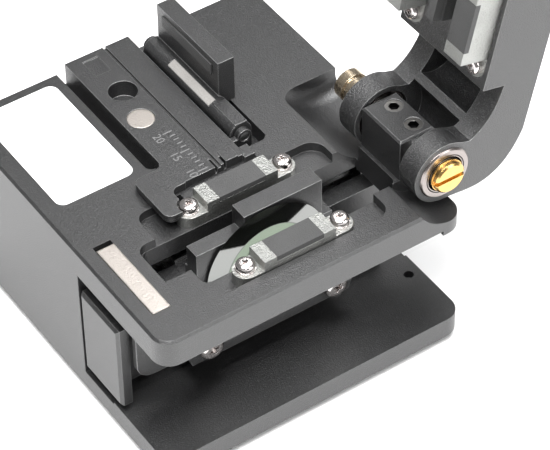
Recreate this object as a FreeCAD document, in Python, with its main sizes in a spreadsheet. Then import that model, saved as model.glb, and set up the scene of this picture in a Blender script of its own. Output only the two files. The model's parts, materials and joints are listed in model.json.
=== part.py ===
import FreeCAD, Part
import math
import os
import re
import Sketcher
from FreeCAD import Placement, Rotation, Vector

# Bench fibre cleaver. Millimetres, +X along the fibre, +Y to the hinge, +Z up.
# Origin: centre of the rest plane, the underside of the rubber mat.

os.makedirs("parts", exist_ok=True)
doc = FreeCAD.newDocument("cleaver")
sheet = doc.addObject("Spreadsheet::Sheet", "dims")

DIMS = [
    # frame
    ("body_left", -29.8), ("body_right", 29.8), ("body_front", -27.4), ("body_back", 27.8),
    ("foot_gap", 1.5), ("deck_top", 31), ("deck_t", 5), ("base_t", 3.8), ("wall_x", 6.05),
    ("deck_low", "=deck_top - deck_t"), ("base_top", "=foot_gap + base_t"),
    ("deck_back_right", 26.9), ("ear_front", 22.9), ("ear_extra", 0.9), ("ear_left", 21.6),
    ("ear_run", 10.6), ("base_in", 0.3), ("corner_r", 3), ("edge_cham", 0.4),
    ("base_groove_x", 14.3), ("base_groove_d", 0.5), ("pin_hole_x", 18.05), ("pin_hole_y", 25.6),
    ("pin_hole_r", 0.8), ("pin_hole_d", 1.5), ("past", 1),
    # pockets in the deck: clamp seats, blade slot, adapter channel
    ("ledge_depth", 1.7), ("pkt_front", -19.8), ("pkt_back", 15.9), ("pkt_left", "=slot_left - 0.05"),
    ("pkt_right", 25.8), ("pkt_mid", -10), ("pkt_step_x", 14), ("pkt_step_y", -12), ("pkt_r", 2),
    ("notch_left", 4.6), ("notch_right", 11), ("notch_front", -16.2), ("notch_back", -8),
    ("seat_left", 6.1), ("seat_r", 2.7), ("seat_front", -9),
    ("slot_left", 10.55), ("slot_right", 21.25), ("slot_front", -14.5), ("slot_back", 20.2),
    ("slot_tip", -19), ("slot_tip_right", 17.45), ("slot_r", 1.2), ("slot_through", "=deck_t + 1.2"),
    ("chan_depth", 3), ("chan_front", -9.2), ("chan_back", 10), ("chan_right", -2.35),
    ("step_front", -4), ("step_right", 1.75),
    # rubber mat under the base
    ("mat_inset", 3), ("mat_sunk", 0.5), ("mat_fit", 0.05), ("mat_r", 2.5),
    # magnets in the deck
    ("mag_x0", 6.8), ("mag_x1", 23.4), ("mag_y0", -24.9), ("mag_y1", -21.8),
    ("mag_depth", 2.4), ("mag_gap", 1.1), ("mag_proud", 0.15), ("mag_fit", 0.05),
    ("disc_x", -11.7), ("disc_y", -4.6), ("disc_r", 2.2), ("disc_h", 2), ("disc_gap", 0.05),
    # lower clamps
    ("cl_a_x", 8.4), ("cl_b_x", 23.6), ("cl_y", -0.45), ("cl_w", 4.1), ("cl_half", 6.35),
    ("cl_pad", 2.15), ("cl_foot_t", 2.05), ("cl_h", 3.8), ("cl_rub", 0.9), ("cl_hole", 8.45),
    ("cl_foot_r", 2.05), ("screw_r", 0.8), ("head_r", 1.5), ("head_h", 1.1), ("head_bevel", 0.4),
    ("hole_gap", 0.05), ("tap_extra", 0.3), ("wash_t", 0.35), ("wash_r", 1.6), ("screw_l", 3),
    # hinge
    ("hinge_y", 25), ("hinge_z", 34.7), ("hinge_x", 16.25), ("shaft_r", 2), ("shaft_fit", 0.02),
    ("blk_half", 4.9), ("blk_front", 20.8), ("blk_back", 27.2), ("blk_top", 38.7), ("blk_cham", 0.3),
    ("bolt_y", 23.2), ("bolt_r", 1), ("bolt_head_r", 2), ("bolt_head_h", 0.8), ("bolt_in", 1.3),
    ("bolt_gap", 0.25),
    ("lug_in", 6.35), ("lug_t", 4), ("lug_out", "=lug_in + lug_t"), ("hub_r", 5.4),
    ("far_gap", 0.25), ("far_in", "=hinge_x - blk_half - far_gap"), ("far_out", "=far_in - lug_t"),
    ("near_in", "=hinge_x + lug_in"), ("near_out", "=near_in + lug_t"),
    ("brg_r", 4.5), ("brg_proud", 0.35), ("brg_cham", 0.25), ("race_in", 2.85), ("race_out", 3.15),
    ("scoop_r", 7.2), ("scoop_end_r", 2.5), ("left_scoop_y", 24.8), ("left_scoop_z", 36.4),
    ("left_scoop_r", 9.6), ("left_scoop_l", 16.8),
    ("set_r", 1.45), ("set_off", 2.5), ("set_sunk", 0.15), ("set_hex", 0.9), ("set_hex_d", 1),
    ("end_r", 2.7), ("collar_r", 2.85), ("collar_t", 0.4), ("end_t", 1.4), ("slot_w", 0.75),
    ("slot_d", 0.8), ("neck_r", 2.3), ("neck_l", 3.2), ("nut_r", 2.6), ("nut_t", 1.8), ("stud_r", 1.2),
    ("stud_l", "=neck_l + nut_t - 0.4"), ("spacer_r", 2.85),
    # lid, in its own closed frame about the hinge axis
    ("lid_open", 103), ("lid_under", 3.65), ("lid_top", 14.3), ("lid_front", -52), ("lid_lip", -45),
    ("lid_lip_z", -2.7), ("lid_round", 4), ("throat_u", -14), ("web_in", 0.5), ("web_turn", 7.35),
    # points of the arm's back and of its throat
    ("side_w0", 0.6), ("side_u1", 0.4), ("side_w1", 10.3), ("side_u2", 1.1), ("side_w2", 6.4),
    ("side_u3", 3.1), ("side_w3", 3.2), ("side_u4", 6.3), ("side_w4", 1.1), ("side_u5", 10),
    ("throat_u1", -4.9), ("throat_w1", 3.7), ("throat_u2", -6.9), ("throat_w2", 5.6),
    ("throat_u3", -9), ("throat_w3", 6.7), ("throat_u4", -11.7), ("throat_w4", 7.45),
    ("throat_u5", -13.8), ("throat_w5", 7.7),
    ("web_scoop", 4.9), ("web_scoop_u", -12.4), ("web_scoop_w", 5.6),
    ("web_notch", 4.2), ("web_notch_u", -10.5), ("web_notch_w", 7.5),
    ("lid_mag_l", 15), ("lid_mag_w", 3.1), ("lid_mag_t", 2), ("slide_gap", 0.1),
    ("up_foot_t", 1.6), ("up_travel", 1.0), ("up_pad_z", -1.4), ("up_hole_r", 0.9),
    ("spr_r", 1.2), ("spr_wire", 0.2), ("spr_seat", 10.2), ("spr_off", 3.2), ("spr_bore", 1.6),
    ("anvil_x", 16.5), ("anvil_w", 2.4), ("anvil_l", 8), ("anvil_tip_z", -0.9), ("anvil_tip_h", 1.5),
    ("anvil_top", 6.2), ("anvil_fit", 0.05), ("anvil_edge", 0.8), ("anvil_room", 9),
    ("plug_r", 2.4), ("plug_low", 12.6), ("plug_bore", 8), ("plug_slot_w", 0.7), ("plug_slot_d", 0.6),
    ("plug_slot_half", 2), ("anvil_spr_r", 0.95),
    # slider
    ("rail_z", 15), ("rail_x", 1.6), ("rail_w", 7), ("rail_h", 4.7), ("rail_half", 24),
    ("groove_x", 2.2), ("groove_w", 1.2), ("groove_d", 0.6), ("rib_fit", 0.05), ("rib_in", 0.5),
    ("rail_pitch", 18), ("rail_bore_r", 2.2), ("rail_bore_x", 2.4), ("rail_hole_r", 1.25),
    ("rail_head_r", 2), ("rail_head_h", 2), ("rail_screw_r", 1.2), ("rail_hex", 0.9),
    ("pocket_half", "=rail_half + 0.6"), ("pocket_w", 17.8),
    ("car_w", 17), ("car_top", 9.6), ("car_half", 11.5),
    ("car_y", -1), ("car_clear", 1.5), ("car_side", 0.3), ("car_roof", 0.25), ("car_off", 6),
    ("car_tap_r", 0.9), ("car_tap_l", 2.5), ("car_bore_r", 2), ("car_bore_x", 1.6), ("car_hole_r", 0.95),
    ("car_head_r", 1.75), ("car_head_h", 1.5), ("car_screw_r", 0.85), ("car_screw_in", 2.4),
    ("car_hex", 0.75), ("car_hex_d", 0.7), ("rail_hex_d", 1),
    ("sl_x1", 12.75), ("sl_front", -25.4), ("sl_back", 24), ("sl_low", 6.4), ("sl_top", 22.7),
    ("nose_x0", 6.3), ("nose_x1", 16.75), ("nose_t", 2), ("nose_cham", 0.5),
    ("hold_x1", 16), ("hold_y0", -12.6), ("hold_y1", 12), ("hold_low", 9.6), ("hold_mid", 29.7),
    ("hold_neck", 25), ("hold_shelf", 25.6), ("boss_half", 2.6), ("boss_up", 1.4),
    ("hold_step", -4), ("hold_hi", 33), ("hold_hi_y", 10.1), ("hold_left", 13.3),
    ("wheel_y", "=cl_y"), ("wheel_z", 22.3), ("wheel_r", 10.75), ("wheel_x0", 16.1), ("wheel_edge", 16.5),
    ("wheel_x1", 17.1), ("wheel_flat", 7.5), ("wheel_back", 9.9), ("wheel_bore", 3),
    ("flange_r", 3.5), ("flange_t", 0.6), ("axle_r", 1.5), ("axle_head_r", 2.6), ("axle_head_h", 1.5),
    ("bush_r", 2), ("bush_l", 1.8), ("bush_fit", 0.03), ("stack_gap", 0.05), ("axle_gap", 0.1),
    ("axle_hex", 1.15), ("axle_hex_d", 1.05),
    ("grd_x0", 17.4), ("grd_x1", 18.4), ("grd_y0", -25.2), ("grd_y1", 22), ("grd_top", 22),
    ("grd_low", 12.4), ("grd_ear", 9.7), ("grd_ear_y0", -16.5), ("grd_ear_y1", 14.5),
    ("grd_notch", 5), ("grd_slope", 1), ("grd_r", 3),
    ("gs_y0", -12.5), ("gs_y1", 10.5), ("gs_z", 12.75), ("gs_r", 1.5),
    ("gs_core", 0.25), ("gs_gap", 0.2), ("gs_tip_in", 0.8), ("gs_tap_in", 0.6),
    ("gs_head_r", 2.15), ("gs_head_h", 1.6), ("gs_bevel", 0.6),
    # adapter
    ("ad_left", -29.3), ("ad_top", 32.5), ("ad_front", -7.7), ("ad_right", 4.05), ("ad_back", 4.1),
    ("tab_left", -0.6), ("tab_front", -13.2), ("tab_right", 9.3), ("tab_notch", -9.5),
    ("keel_low", 28.1), ("ad_seam", 31.6), ("seam_in", 0.2), ("vee_y", "=cl_y"),
    ("vee_w", 0.5), ("vee_d", 0.5),
    ("fin_w", 0.35), ("fin_d", 1.3), ("fin_off", 0.8), ("fin_x0", 2), ("fin_lag", 0.4),
    ("guide_h", 0.25), ("guide_x0", 1.5), ("guide_back", 2.9),
    ("tab_step", 0.2), ("tab_r", 1.4), ("tab_low_r", 1.3), ("keel_right", -2.9), ("keel_in", 0.4),
    ("keel_tip", 1.2), ("keel_tip_front", -3.8), ("nub_x0", 2.2), ("nub_x1", 4.6), ("nub_in", 0.3),
    ("nub_back", 5.9), ("nub_low", 0.2), ("port_x", -18.65), ("port_y", -3.5), ("port_r", 2.35),
    ("port_d", 3), ("mark_x0", -28), ("mark_x1", -24), ("mark_y0", -5.2), ("mark_y1", -2.4),
    ("mark_d", 0.25), ("foot_room", 0.25), ("foot_rise", 0.15), ("wash_room", 0.2),
    ("ear_gap", 0.1), ("ear_in", 0.8), ("ear_r", 1.3),
    ("pivot_y", 6.5), ("pivot_z", 32), ("pivot_r", 2), ("pivot_x0", -25.3), ("pivot_x1", -0.6), ("ear_t", 1),
    ("pivot_pin", 0.8), ("pivot_fit", 0.04),
    ("arm_x0", -25.2), ("arm_x1", -7.8), ("arm_up", 8.4), ("arm_t", 3), ("arm_gap", 0.8),
    ("pad_gap", 0.55), ("pad_in", 1.7), ("pad_sunk", 0.3), ("pad_low", 5.2), ("pad_high", 7.2),
    ("arm_sole", 1.4), ("toe_x0", -6.6), ("toe_front", 1), ("toe_back", 1.2), ("arm_tilt", 27),
    ("strip_x0", -18.8), ("strip_x1", -7.2), ("strip_half", 0.7), ("strip_z", 1.7), ("strip_t", 0.35),
]
for row, (alias, value) in enumerate(DIMS, start=1):
    sheet.set("A%d" % row, alias)
    sheet.set("B%d" % row, str(value))
    sheet.setAlias("B%d" % row, alias)
doc.recompute()
NAMES = [alias for alias, _ in DIMS]
WORD = re.compile(r"[A-Za-z_][A-Za-z_0-9]*")


def bind(text):
    """Expression text with every sheet name pointed at the sheet."""
    return WORD.sub(lambda m: "dims." + m.group(0) if m.group(0) in NAMES else m.group(0), str(text))


def val(alias):
    """Number held by one sheet name."""
    return float(sheet.get(alias))


NODES = []


def node(obj, name):
    """Name an object as one exported piece."""
    obj.Label = name
    NODES.append(obj)
    return obj


COUNT = [0]


def fresh(stem):
    COUNT[0] += 1
    return "%s_%03d" % (stem, COUNT[0])


def box(x0, x1, y0, y1, z0, z1):
    """Box between six sheet expressions."""
    o = doc.addObject("Part::Box", fresh("box"))
    for prop, lo, hi in (("Length", x0, x1), ("Width", y0, y1), ("Height", z0, z1)):
        o.setExpression(prop, bind("(%s) - (%s)" % (hi, lo)))
    for axis, lo in (("x", x0), ("y", y0), ("z", z0)):
        o.setExpression("Placement.Base." + axis, bind(lo))
    return o


TURN = {"z": Rotation(), "x": Rotation(Vector(0, 1, 0), 90), "y": Rotation(Vector(1, 0, 0), -90)}


def place(o, axis, x, y, z):
    o.Placement = Placement(Vector(), TURN[axis])
    for name, text in (("x", x), ("y", y), ("z", z)):
        o.setExpression("Placement.Base." + name, bind(text))
    return o


def rod(axis, x, y, z, r, length):
    """Cylinder starting at a point and running along one axis."""
    o = doc.addObject("Part::Cylinder", fresh("rod"))
    o.setExpression("Radius", bind(r))
    o.setExpression("Height", bind(length))
    return place(o, axis, x, y, z)


def cone(axis, x, y, z, r0, r1, length):
    o = doc.addObject("Part::Cone", fresh("cone"))
    o.setExpression("Radius1", bind(r0))
    o.setExpression("Radius2", bind(r1))
    o.setExpression("Height", bind(length))
    return place(o, axis, x, y, z)


def hexbar(axis, x, y, z, r, length):
    o = doc.addObject("Part::Prism", fresh("hex"))
    o.Polygon = 6
    o.setExpression("Circumradius", bind(r))
    o.setExpression("Height", bind(length))
    return place(o, axis, x, y, z)


def fuse(*shapes):
    o = doc.addObject("Part::MultiFuse", fresh("fuse"))
    o.Shapes = list(shapes)
    o.Refine = True
    return o


def group(*shapes):
    o = doc.addObject("Part::Compound", fresh("group"))
    o.Links = list(shapes)
    return o


def cut(base, *tools):
    tool = tools[0] if len(tools) == 1 else fuse(*tools)
    o = doc.addObject("Part::Cut", fresh("cut"))
    o.Base = base
    o.Tool = tool
    o.Refine = True
    return o


def soften(base, size, pick, kind="Part::Fillet"):
    """Round or bevel the edges that pick(edge) accepts."""
    doc.recompute()
    o = doc.addObject(kind, fresh("soft"))
    o.Base = base
    size = val(size) if isinstance(size, str) else size
    o.Edges = [(i, size, size) for i, e in enumerate(base.Shape.Edges, start=1) if pick(e)]
    return o


def upright(e, points=None, tol=0.3):
    """Straight vertical edge, near one of the given x, y points if any."""
    if e.Curve.TypeId != "Part::GeomLine":
        return False
    a, b = e.Vertexes[0].Point, e.Vertexes[-1].Point
    if abs(a.x - b.x) > 1e-6 or abs(a.y - b.y) > 1e-6:
        return False
    return points is None or any(math.hypot(a.x - x, a.y - y) < tol for x, y in points)


# ---- PartDesign helpers ----
def new_body(name):
    b = doc.addObject("PartDesign::Body", name)
    return node(b, name)


def sketch(b, role, offset):
    s = b.newObject("Sketcher::SketchObject", fresh("sketch"))
    plane = [o for o in b.Origin.OriginFeatures if o.Role == role][0]
    s.AttachmentSupport = [(plane, "")]
    s.MapMode = "FlatFace"
    s.setExpression("AttachmentOffset.Base.z", bind(offset))
    return s


def outline(s, points):
    """Closed polygon whose corners follow the sheet."""
    doc.recompute()
    probe = [(s.evalExpression(bind(px)), s.evalExpression(bind(py))) for px, py in points]
    probe = [(float(getattr(px, "Value", px)), float(getattr(py, "Value", py))) for px, py in probe]
    first = s.GeometryCount
    count = len(points)
    for i in range(count):
        a, c = probe[i], probe[(i + 1) % count]
        s.addGeometry(Part.LineSegment(Vector(a[0], a[1], 0), Vector(c[0], c[1], 0)))
    for i in range(count):
        s.addConstraint(Sketcher.Constraint("Coincident", first + i, 2, first + (i + 1) % count, 1))
    for i, (px, py) in enumerate(points):
        for kind, text, number in (("DistanceX", px, probe[i][0]), ("DistanceY", py, probe[i][1])):
            k = s.addConstraint(Sketcher.Constraint(kind, -1, 1, first + i, 1, number))
            s.setExpression("Constraints[%d]" % k, bind(text))
    return s


def ring(s, cx, cy, r):
    """Circle whose centre and radius follow the sheet."""
    doc.recompute()
    nums = [s.evalExpression(bind(t)) for t in (cx, cy, r)]
    nums = [float(getattr(n, "Value", n)) for n in nums]
    g = s.addGeometry(Part.Circle(Vector(nums[0], nums[1], 0), Vector(0, 0, 1), nums[2]))
    for kind, text, number in (("DistanceX", cx, nums[0]), ("DistanceY", cy, nums[1])):
        k = s.addConstraint(Sketcher.Constraint(kind, -1, 1, g, 3, number))
        s.setExpression("Constraints[%d]" % k, bind(text))
    k = s.addConstraint(Sketcher.Constraint("Radius", g, nums[2]))
    s.setExpression("Constraints[%d]" % k, bind(r))
    return s


def rect(s, x0, x1, y0, y1):
    return outline(s, [(x0, y0), (x1, y0), (x1, y1), (x0, y1)])


def feature(b, kind, s, length=None):
    f = b.newObject("PartDesign::" + kind, fresh(kind.lower()))
    f.Profile = s
    if length is not None:
        f.setExpression("Length", bind(length))
    s.Visibility = False
    return f


def dress(b, kind, size, pick):
    """PartDesign fillet or chamfer on the tip's edges that pick accepts."""
    doc.recompute()
    base = b.Tip
    names = ["Edge%d" % i for i, e in enumerate(base.Shape.Edges, start=1) if pick(e)]
    f = b.newObject("PartDesign::" + kind, fresh(kind.lower()))
    f.Base = (base, names)
    f.setExpression("Radius" if kind == "Fillet" else "Size", bind(size))
    return f


def down(b, depth, *rects):
    """Pocket from the deck's top face."""
    s = sketch(b, "XY_Plane", "deck_top")
    for r in rects:
        rect(s, *r)
    return feature(b, "Pocket", s, depth)


# ---- frame ----
frame = new_body("body_frame")
s = outline(sketch(frame, "XZ_Plane", "-body_back"), [
    ("body_left", "foot_gap"), ("body_right - base_in", "foot_gap"), ("body_right - base_in", "base_top"),
    ("wall_x", "base_top"), ("wall_x", "deck_low"), ("body_right", "deck_low"),
    ("body_right", "deck_top"), ("body_left", "deck_top")])
feature(frame, "Pad", s, "body_back - body_front")
s = rect(sketch(frame, "XY_Plane", "deck_top"), "ear_left - ear_run", "body_right + past",
         "deck_back_right", "body_back + past")
feature(frame, "Pocket", s, "deck_t + past/2")
s = rect(sketch(frame, "XY_Plane", "deck_low - ear_extra"), "ear_left", "body_right", "ear_front",
         "deck_back_right")
feature(frame, "Pad", s, "ear_extra + past/2")
def corner_points(*pairs):
    """Numbers of named corners."""
    return [(val(x), val(y)) for x, y in pairs]


corners = [(val("body_right"), val("body_front")), (val("body_right"), val("deck_back_right")),
           (val("body_right") - val("base_in"), val("body_front")),
           (val("body_right") - val("base_in"), val("body_back")),
           (val("body_left"), val("body_front")), (val("body_left"), val("body_back"))]
dress(frame, "Fillet", "corner_r", lambda e: upright(e, corners) and e.Length > val("corner_r"))
# clamp pocket ledge, then the slot that the blade runs in
# left of the slot: seat of clamp a; right of it: seat of clamp b
down(frame, "ledge_depth", ("pkt_left", "pkt_right", "pkt_front", "pkt_mid"))
down(frame, "ledge_depth", ("pkt_step_x", "pkt_right", "pkt_step_y", "pkt_back"))
down(frame, "ledge_depth", ("notch_left", "notch_right", "notch_front", "notch_back"))
down(frame, "ledge_depth", ("seat_left", "seat_left + 2*seat_r", "seat_front", "pkt_back"))
down(frame, "slot_through", ("slot_left", "slot_right", "slot_front", "slot_back"))
down(frame, "slot_through", ("slot_left", "slot_tip_right", "slot_tip", "slot_front + past/2"))
# channel of the adapter
down(frame, "chan_depth", ("body_left - past", "chan_right", "chan_front", "chan_back"))
down(frame, "chan_depth", ("chan_right - past", "step_right", "step_front", "chan_back"))
down(frame, "mag_depth", ("mag_x0", "mag_x1", "mag_y0", "mag_y1"))
s = rect(sketch(frame, "XY_Plane", "base_top"), "wall_x", "base_groove_x", "body_front - past",
         "body_back + past")
feature(frame, "Pocket", s, "base_groove_d")
# rail pocket in the wall
s = rect(sketch(frame, "YZ_Plane", "wall_x"), "-pocket_half", "pocket_half", "rail_z - pocket_w/2",
         "rail_z + pocket_w/2")
feature(frame, "Pocket", s, "wall_x - rail_x")
# round scoops that the lid hubs turn in
s = ring(sketch(frame, "YZ_Plane", "body_right + past"), "hinge_y", "hinge_z", "scoop_r")
feature(frame, "Pocket", s, "body_right + past - hinge_x - blk_half")
s = ring(sketch(frame, "YZ_Plane", "hinge_x - blk_half"), "left_scoop_y", "left_scoop_z", "left_scoop_r")
feature(frame, "Pocket", s, "left_scoop_l")
dress(frame, "Fillet", "scoop_end_r", lambda e: e.BoundBox.XLength < 1e-4 and e.BoundBox.XMin < 0
      and e.Curve.TypeId == "Part::GeomCircle" and abs(e.Curve.Radius - val("left_scoop_r")) < 1e-4)
# screw holes of the lower clamps, shank fits
s = sketch(frame, "XY_Plane", "deck_top - ledge_depth")
for cx in ("cl_a_x", "cl_b_x"):
    for sign in ("-", "+"):
        ring(s, cx, "cl_y %s cl_hole" % sign, "screw_r")
feature(frame, "Pocket", s, "screw_l - cl_foot_t + tap_extra")
# mat, adapter magnet, hinge block screws, small base hole
s = rect(sketch(frame, "XY_Plane", "foot_gap"), "body_left + mat_inset", "body_right - mat_inset",
         "body_front + mat_inset", "body_back - mat_inset")
f = feature(frame, "Pocket", s, "mat_sunk")
f.Reversed = True
s = ring(sketch(frame, "XY_Plane", "deck_top - chan_depth"), "disc_x", "disc_y", "disc_r + mag_fit")
feature(frame, "Pocket", s, "disc_h")
s = sketch(frame, "XY_Plane", "deck_low")
for sign in ("-", "+"):
    ring(s, "hinge_x %s set_off" % sign, "bolt_y", "bolt_r + bolt_gap")
f = feature(frame, "Pocket", s, "deck_t + past")
f.Reversed = True
s = ring(sketch(frame, "XY_Plane", "base_top"), "pin_hole_x", "pin_hole_y", "pin_hole_r")
feature(frame, "Pocket", s, "pin_hole_d")
pocket_corners = corner_points(("pkt_left", "pkt_front"), ("pkt_right", "pkt_front"),
                               ("pkt_right", "pkt_back"), ("notch_left", "notch_front"))
dress(frame, "Fillet", "pkt_r", lambda e: upright(e, pocket_corners) and e.Length < val("chan_depth"))
seat_corners = [(val("seat_left"), val("pkt_back")), (val("seat_left") + 2 * val("seat_r"), val("pkt_back"))]
dress(frame, "Fillet", "seat_r - 0.05", lambda e: upright(e, seat_corners) and e.Length < val("chan_depth"))
slot_corners = corner_points(("slot_left", "slot_back"), ("slot_right", "slot_back"),
                             ("slot_left", "slot_tip"), ("slot_right", "slot_front"),
                             ("chan_right", "chan_front"), ("step_right", "chan_back"))
dress(frame, "Fillet", "slot_r", lambda e: upright(e, slot_corners)
      and e.Length > val("ledge_depth") + val("edge_cham"))


def deck_rim(e):
    c = e.BoundBox
    if abs(c.ZMin - val("deck_top")) > 1e-4 or abs(c.ZMax - val("deck_top")) > 1e-4:
        return False
    m = e.CenterOfMass
    right = m.x > val("body_right") - 0.01 and c.YLength > val("body_right") / 2
    front = m.y < val("body_front") + 0.01
    return right or front


dress(frame, "Chamfer", "edge_cham", deck_rim)

mat = box("body_left + mat_inset + mat_fit", "body_right - mat_inset - mat_fit",
          "body_front + mat_inset + mat_fit", "body_back - mat_inset - mat_fit", "0",
          "foot_gap + mat_sunk")
node(soften(mat, "mat_r", upright), "rubber_mat")
node(box("mag_x0 + mag_gap", "mag_x1 - mag_fit", "mag_y0 + mag_fit", "mag_y1 - mag_fit",
         "deck_top - mag_depth", "deck_top + mag_proud"), "deck_magnet")
node(rod("z", "disc_x", "disc_y", "deck_top - chan_depth - disc_h", "disc_r", "disc_h"),
     "adapter_hold_magnet")

# ---- lower clamps ----
LOW = "deck_top - ledge_depth"


def bracket(cx, low, foot_t, height, hole):
    """Clamp bracket: two screw feet, a bar and two end pads with a rubber strip between them."""
    top = "%s + %s" % (low, height)
    ends = ("cl_y - cl_half + cl_pad", "cl_y + cl_half - cl_pad")
    solids = [box("%s - cl_w/2" % cx, "%s + cl_w/2" % cx, "cl_y - cl_hole", "cl_y + cl_hole", low,
                  "%s + %s" % (low, foot_t)),
              box("%s - cl_w/2" % cx, "%s + cl_w/2" % cx, "cl_y - cl_half", "cl_y + cl_half", low, top)]
    holes = []
    for side in ("-", "+"):
        solids.append(rod("z", cx, "cl_y %s cl_hole" % side, low, "cl_foot_r", foot_t))
        holes.append(rod("z", cx, "cl_y %s cl_hole" % side, "%s - past" % low, hole,
                         "%s + 2*past" % foot_t))
    seat = box("%s - cl_w/2 - past" % cx, "%s + cl_w/2 + past" % cx, *ends, top + " - cl_rub", top)
    strip = box("%s - cl_w/2" % cx, "%s + cl_w/2" % cx, *ends, top + " - cl_rub", top)
    return cut(fuse(*solids), seat, *holes), strip


for tag, cx in (("a", "cl_a_x"), ("b", "cl_b_x")):
    metal, rubber = bracket(cx, LOW, "cl_foot_t", "cl_h", "screw_r + hole_gap")
    node(metal, "clamp_%s_bracket" % tag)
    node(rubber, "clamp_%s_rubber" % tag)


def pan_screw(x, y, seat, up):
    """Pan head with a bevelled rim and its shank; the head stands up from its seat or hangs below it."""
    rim = "head_h - head_bevel"
    if up:
        return fuse(rod("z", x, y, "%s - screw_l" % seat, "screw_r", "screw_l"),
                    rod("z", x, y, seat, "head_r", rim),
                    cone("z", x, y, "%s + %s" % (seat, rim), "head_r", "head_r - head_bevel", "head_bevel"))
    return fuse(rod("z", x, y, seat, "screw_r", "screw_l"),
                rod("z", x, y, "%s - (%s)" % (seat, rim), "head_r", rim),
                cone("z", x, y, "%s - head_h" % seat, "head_r - head_bevel", "head_r", "head_bevel"))


screws, washers = [], []
HEAD = "%s + cl_foot_t + wash_t" % LOW
for cx in ("cl_a_x", "cl_b_x"):
    for side in ("-", "+"):
        cy = "cl_y %s cl_hole" % side
        screws.append(pan_screw(cx, cy, HEAD, True))
        washers.append(cut(rod("z", cx, cy, "%s + cl_foot_t" % LOW, "wash_r", "wash_t"),
                           rod("z", cx, cy, LOW, "screw_r + hole_gap", "cl_foot_t + wash_t + past")))
node(group(*screws), "clamp_screws")
node(group(*washers), "clamp_washers")

# ---- hinge block, shaft and bearings ----
block = cut(box("hinge_x - blk_half", "hinge_x + blk_half", "blk_front", "blk_back", "deck_top",
                "blk_top"),
            rod("x", "hinge_x - blk_half - past", "hinge_y", "hinge_z", "shaft_r + shaft_fit",
                "2*blk_half + 2*past"),
            *[rod("z", "hinge_x %s set_off" % sg, "hinge_y", "hinge_z", "set_r",
                  "blk_top - hinge_z + past") for sg in ("-", "+")],
            *[rod("z", "hinge_x %s set_off" % sg, "bolt_y", "deck_top - past", "bolt_r",
                  "bolt_in + past + hole_gap*2") for sg in ("-", "+")])
doc.recompute()
node(soften(block, "blk_cham", lambda e: e.BoundBox.ZMin > val("blk_top") - 1e-4
            and e.Curve.TypeId == "Part::GeomLine", "Part::Chamfer"), "hinge_block")
node(group(*[fuse(rod("z", "hinge_x %s set_off" % sg, "bolt_y", "deck_low", "bolt_r", "deck_t + bolt_in"),
                  rod("z", "hinge_x %s set_off" % sg, "bolt_y", "deck_low - bolt_head_h", "bolt_head_r",
                      "bolt_head_h"))
             for sg in ("-", "+")]), "hinge_block_screws")
sets = []
for sg in ("-", "+"):
    sx = "hinge_x %s set_off" % sg
    sets.append(cut(rod("z", sx, "hinge_y", "hinge_z + shaft_r", "set_r",
                        "blk_top - set_sunk - hinge_z - shaft_r"),
                    hexbar("z", sx, "hinge_y", "blk_top - set_sunk - set_hex_d", "set_hex",
                           "set_hex_d + past")))
node(group(*sets), "set_screws")

x_far = "far_out - brg_proud"
x_near = "near_out + brg_proud"
shaft = fuse(rod("x", x_far, "hinge_y", "hinge_z", "shaft_r", "%s - (%s)" % (x_near, x_far)),
             rod("x", "%s - stud_l" % x_far, "hinge_y", "hinge_z", "stud_r", "stud_l + past"),
             rod("x", x_near, "hinge_y", "hinge_z", "collar_r", "collar_t"),
             rod("x", x_near, "hinge_y", "hinge_z", "end_r", "end_t"))
shaft = cut(shaft, box("%s + end_t - slot_d" % x_near, "%s + end_t + past" % x_near,
                       "hinge_y - end_r - past", "hinge_y + end_r + past",
                       "hinge_z - slot_w/2", "hinge_z + slot_w/2"))
doc.recompute()
node(soften(shaft, "blk_cham", lambda e: e.Curve.TypeId == "Part::GeomCircle"
            and e.BoundBox.XMin > val("near_out") + val("brg_proud") + val("end_t") - 1e-3,
            "Part::Chamfer"), "hinge_shaft")
node(cut(fuse(rod("x", "%s - collar_t" % x_far, "hinge_y", "hinge_z", "collar_r", "collar_t"),
              rod("x", "%s - neck_l" % x_far, "hinge_y", "hinge_z", "neck_r", "neck_l"),
              rod("x", "%s - neck_l - nut_t" % x_far, "hinge_y", "hinge_z", "nut_r", "nut_t")),
         rod("x", "%s - stud_l" % x_far, "hinge_y", "hinge_z", "stud_r + shaft_fit", "stud_l + past")),
     "shaft_nut")
# inner rings stand against spacers on both sides of the block
near_gap = ("hinge_x + blk_half", "near_in + brg_proud - (hinge_x + blk_half)")
far_gap = ("far_in - brg_proud", "far_gap + brg_proud")
node(group(*[cut(rod("x", x0, "hinge_y", "hinge_z", "spacer_r", long),
                 rod("x", "%s - past" % x0, "hinge_y", "hinge_z", "shaft_r + shaft_fit",
                     "%s + 2*past" % long))
             for x0, long in (near_gap, far_gap)]), "shaft_spacers")

BEARINGS = ("near_in + brg_proud", "far_out - brg_proud")
node(group(*[cut(rod("x", x0, "hinge_y", "hinge_z", "race_in", "lug_t"),
                 rod("x", "%s - past" % x0, "hinge_y", "hinge_z", "shaft_r + shaft_fit", "lug_t + 2*past"))
             for x0 in BEARINGS]), "bearing_inner_rings")

# ---- lid, drawn closed about the hinge axis and turned open as one ----
OPEN = Placement(Vector(0, val("hinge_y"), val("hinge_z")),
                 Rotation(Vector(1, 0, 0), -val("lid_open")))


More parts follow.
